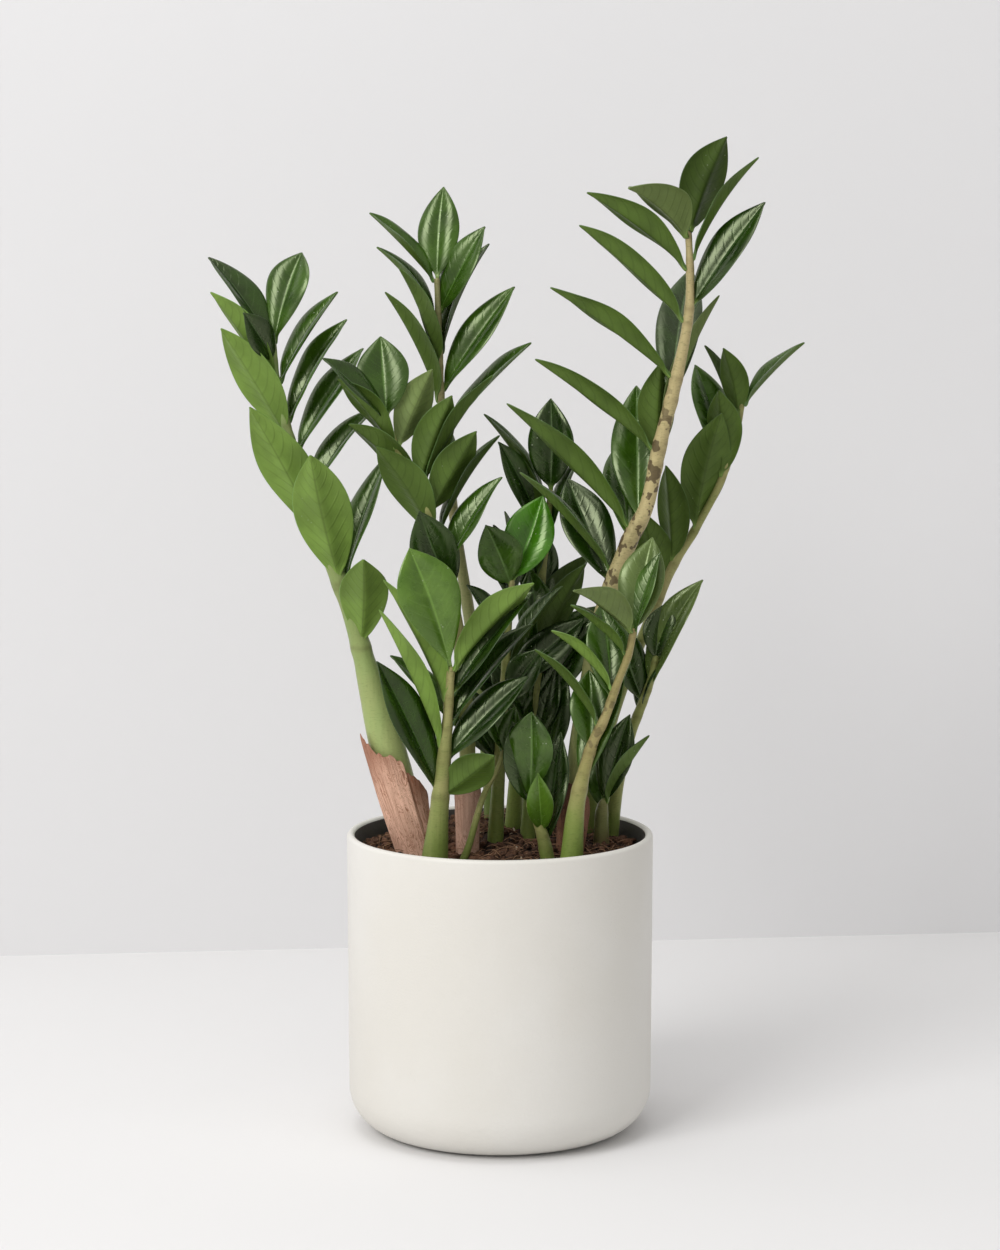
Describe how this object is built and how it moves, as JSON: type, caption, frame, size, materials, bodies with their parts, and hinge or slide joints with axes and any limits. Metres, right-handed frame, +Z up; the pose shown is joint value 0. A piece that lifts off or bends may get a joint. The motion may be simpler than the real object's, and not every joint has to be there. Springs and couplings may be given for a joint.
{
  "type": "potted zz plant",
  "caption": "Potted ZZ plant: thick arching stalks with rows of pointed glossy leaflets, rising from bark soil in a plain round pot.",
  "frame": {"origin": "centre of the pot's flat foot, on the surface that the pot stands on", "axes": "+Z up, along the pot's axis; -Y is the front, the side that most leaflets are spread out to; +X is to the right from the front"},
  "size_m": [0.3465, 0.18, 0.5823],
  "materials": {
    "ceramic": "matt off-white outside, dark grey bare clay inside",
    "bark": "loose damp potting bark with chips and fibres",
    "sheath": "dry papery sheath with long fibres",
    "stalk": "smooth green skin with short darker flecks",
    "leaf": "waxy glossy upper face, matt lighter underside"
  },
  "bodies": {
    "root": {"pot": "ceramic", "soil": "bark", "sheath_left": "sheath", "sheath_middle": "sheath", "sheath_right": "sheath", "stalk_left_tall": "stalk", "stalk_middle_tall": "stalk", "stalk_right_tall": "stalk", "leaflet_left_tall_01": "leaf", "leaflet_left_tall_02": "leaf", "leaflet_left_tall_03": "leaf", "leaflet_left_tall_04": "leaf", "leaflet_left_tall_05": "leaf", "leaflet_left_tall_06": "leaf", "leaflet_left_tall_07": "leaf", "leaflet_left_tall_08": "leaf", "leaflet_left_tall_09": "leaf", "leaflet_left_tall_10": "leaf", "leaflet_left_tall_11": "leaf", "leaflet_left_tall_12": "leaf", "leaflet_left_tall_13": "leaf", "leaflet_middle_tall_01": "leaf", "leaflet_middle_tall_02": "leaf", "leaflet_middle_tall_03": "leaf", "leaflet_middle_tall_04": "leaf", "leaflet_middle_tall_05": "leaf", "leaflet_middle_tall_06": "leaf", "leaflet_middle_tall_07": "leaf", "leaflet_middle_tall_08": "leaf", "leaflet_middle_tall_09": "leaf", "leaflet_middle_tall_10": "leaf", "leaflet_right_tall_01": "leaf", "leaflet_right_tall_02": "leaf", "leaflet_right_tall_03": "leaf", "leaflet_right_tall_04": "leaf", "leaflet_right_tall_05": "leaf", "leaflet_right_tall_06": "leaf", "leaflet_right_tall_07": "leaf", "leaflet_right_tall_08": "leaf", "leaflet_right_tall_09": "leaf", "leaflet_right_tall_10": "leaf", "leaflet_right_tall_11": "leaf", "leaflet_right_tall_12": "leaf", "leaflet_right_tall_13": "leaf", "leaflet_right_tall_14": "leaf", "leaflet_right_tall_15": "leaf", "leaflet_right_tall_16": "leaf", "frond_front_left": "leaf", "frond_front_right": "leaf", "frond_front_shoot": "leaf", "frond_left_middle": "leaf", "frond_middle": "leaf", "frond_middle_back": "leaf", "frond_middle_low": "leaf", "frond_right_back": "leaf", "frond_right_low": "leaf", "frond_right_shoot": "leaf", "frond_thin_shoot": "leaf"}
  },
  "joints": []
}
